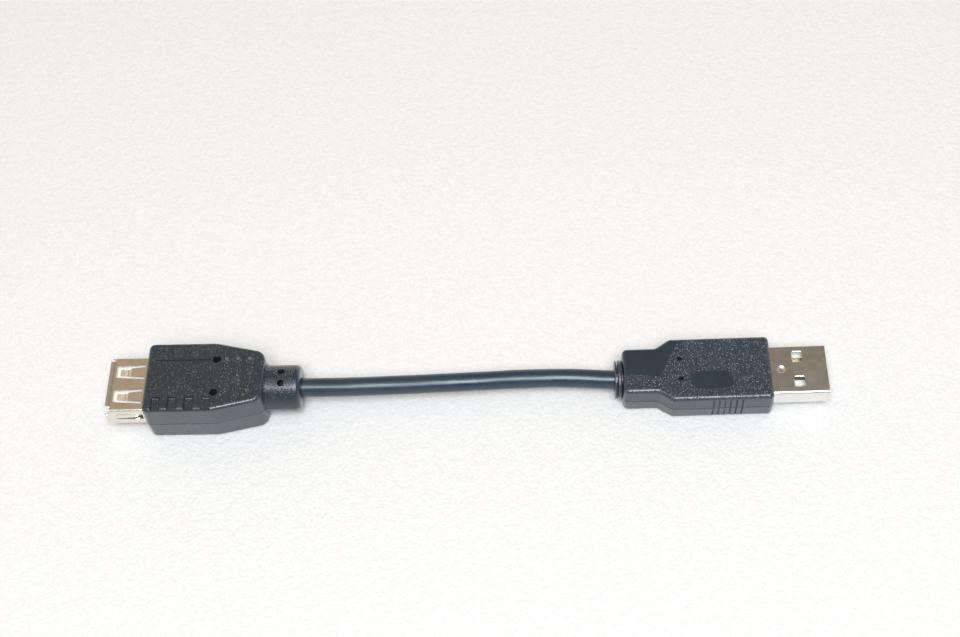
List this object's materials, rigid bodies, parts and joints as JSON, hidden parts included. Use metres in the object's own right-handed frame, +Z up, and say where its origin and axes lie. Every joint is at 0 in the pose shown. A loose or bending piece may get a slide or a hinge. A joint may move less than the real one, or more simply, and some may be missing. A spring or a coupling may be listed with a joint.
{
  "type": "usb extension cable",
  "caption": "Short cable with a flat rectangular Type-A plug on one end and a Type-A socket in a thicker grip body on the other, both moulded in black plastic.",
  "frame": {"origin": "on the surface the object lies on, under the centre of the box round both connectors", "axes": "+X along the object towards the plug's tip (the socket's mouth faces -X), +Y across it towards the back, +Z up from the surface it lies on"},
  "size_m": [0.1572, 0.0174, 0.0118],
  "materials": {
    "overmould_pvc": "moulded with a fine leather grain, slightly glossy",
    "cable_pvc": "smooth extruded jacket with a soft gloss",
    "plug_nickel": "bright nickel plate on folded sheet",
    "socket_nickel": "warm nickel plate on folded sheet",
    "white_insulator": "plain moulded, satin",
    "gold_contact": "gold plate",
    "inner_polyethylene": "natural, slightly waxy",
    "crimp_steel": "tinned sheet",
    "tinned_braid": "tinned wire braid",
    "wire_red": "smooth wire insulation",
    "wire_white": "smooth wire insulation",
    "wire_green": "smooth wire insulation",
    "wire_black": "smooth wire insulation"
  },
  "bodies": {
    "root": {"cable_jacket": "cable_pvc", "plug_overmould": "overmould_pvc", "plug_strain_relief": "overmould_pvc", "plug_shell": "plug_nickel", "plug_insulator": "white_insulator", "plug_contact_vbus": "gold_contact", "plug_contact_data_minus": "gold_contact", "plug_contact_data_plus": "gold_contact", "plug_contact_ground": "gold_contact", "plug_inner_mould": "inner_polyethylene", "plug_shield_clamp": "crimp_steel", "plug_braid_fold": "tinned_braid", "plug_wire_red": "wire_red", "plug_wire_white": "wire_white", "plug_wire_green": "wire_green", "plug_wire_black": "wire_black", "socket_overmould": "overmould_pvc", "socket_strain_relief": "overmould_pvc", "socket_shell": "socket_nickel", "socket_insulator": "white_insulator", "socket_contact_vbus": "gold_contact", "socket_contact_data_minus": "gold_contact", "socket_contact_data_plus": "gold_contact", "socket_contact_ground": "gold_contact", "socket_inner_mould": "inner_polyethylene", "socket_shield_clamp": "crimp_steel", "socket_braid_fold": "tinned_braid", "socket_wire_red": "wire_red", "socket_wire_white": "wire_white", "socket_wire_green": "wire_green", "socket_wire_black": "wire_black"},
    "contact_spring_vbus": {"socket_contact_spring_vbus": "gold_contact"},
    "contact_spring_data_minus": {"socket_contact_spring_data_minus": "gold_contact"},
    "contact_spring_data_plus": {"socket_contact_spring_data_plus": "gold_contact"},
    "contact_spring_ground": {"socket_contact_spring_ground": "gold_contact"},
    "shell_spring_top_front": {"socket_shell_spring_top_front": "socket_nickel"},
    "shell_spring_top_back": {"socket_shell_spring_top_back": "socket_nickel"},
    "shell_spring_bottom_front": {"socket_shell_spring_bottom_front": "socket_nickel"},
    "shell_spring_bottom_back": {"socket_shell_spring_bottom_back": "socket_nickel"},
    "shell_spring_side_front": {"socket_shell_spring_side_front": "socket_nickel"},
    "shell_spring_side_back": {"socket_shell_spring_side_back": "socket_nickel"}
  },
  "joints": [
    {"name": "contact_flex_vbus", "type": "hinge", "parent": "root", "child": "contact_spring_vbus", "pos_m": [-0.06556, -0.00343, 0.0064], "axis": [0.0175, 0.9998, 0], "range_deg": [0, 2.5], "stiffness_Nm_per_rad": 0.04},
    {"name": "contact_flex_data_minus", "type": "hinge", "parent": "root", "child": "contact_spring_data_minus", "pos_m": [-0.06552, -0.00093, 0.0064], "axis": [0.0175, 0.9998, 0], "range_deg": [0, 2.5], "stiffness_Nm_per_rad": 0.04},
    {"name": "contact_flex_data_plus", "type": "hinge", "parent": "root", "child": "contact_spring_data_plus", "pos_m": [-0.06548, 0.00106, 0.0064], "axis": [0.0175, 0.9998, 0], "range_deg": [0, 2.5], "stiffness_Nm_per_rad": 0.04},
    {"name": "contact_flex_ground", "type": "hinge", "parent": "root", "child": "contact_spring_ground", "pos_m": [-0.06544, 0.00356, 0.0064], "axis": [0.0175, 0.9998, 0], "range_deg": [0, 2.5], "stiffness_Nm_per_rad": 0.04},
    {"name": "shell_flex_top_front", "type": "hinge", "parent": "root", "child": "shell_spring_top_front", "pos_m": [-0.07071, -0.00289, 0.0086], "axis": [0.0175, 0.9998, 0], "range_deg": [0, 4], "stiffness_Nm_per_rad": 0.12},
    {"name": "shell_flex_top_back", "type": "hinge", "parent": "root", "child": "shell_spring_top_back", "pos_m": [-0.07061, 0.0032, 0.0086], "axis": [0.0175, 0.9998, 0], "range_deg": [0, 4], "stiffness_Nm_per_rad": 0.12},
    {"name": "shell_flex_bottom_front", "type": "hinge", "parent": "root", "child": "shell_spring_bottom_front", "pos_m": [-0.07071, -0.00289, 0.0032], "axis": [-0.0175, -0.9998, 0], "range_deg": [0, 4], "stiffness_Nm_per_rad": 0.12},
    {"name": "shell_flex_bottom_back", "type": "hinge", "parent": "root", "child": "shell_spring_bottom_back", "pos_m": [-0.07061, 0.0032, 0.0032], "axis": [-0.0175, -0.9998, 0], "range_deg": [0, 4], "stiffness_Nm_per_rad": 0.12},
    {"name": "shell_flex_side_front", "type": "hinge", "parent": "root", "child": "shell_spring_side_front", "pos_m": [-0.07633, -0.00632, 0.0061], "axis": [0, 0, -1], "range_deg": [0, 4], "stiffness_Nm_per_rad": 0.12},
    {"name": "shell_flex_side_back", "type": "hinge", "parent": "root", "child": "shell_spring_side_back", "pos_m": [-0.0761, 0.00683, 0.0061], "axis": [0, 0, 1], "range_deg": [0, 4], "stiffness_Nm_per_rad": 0.12}
  ]
}
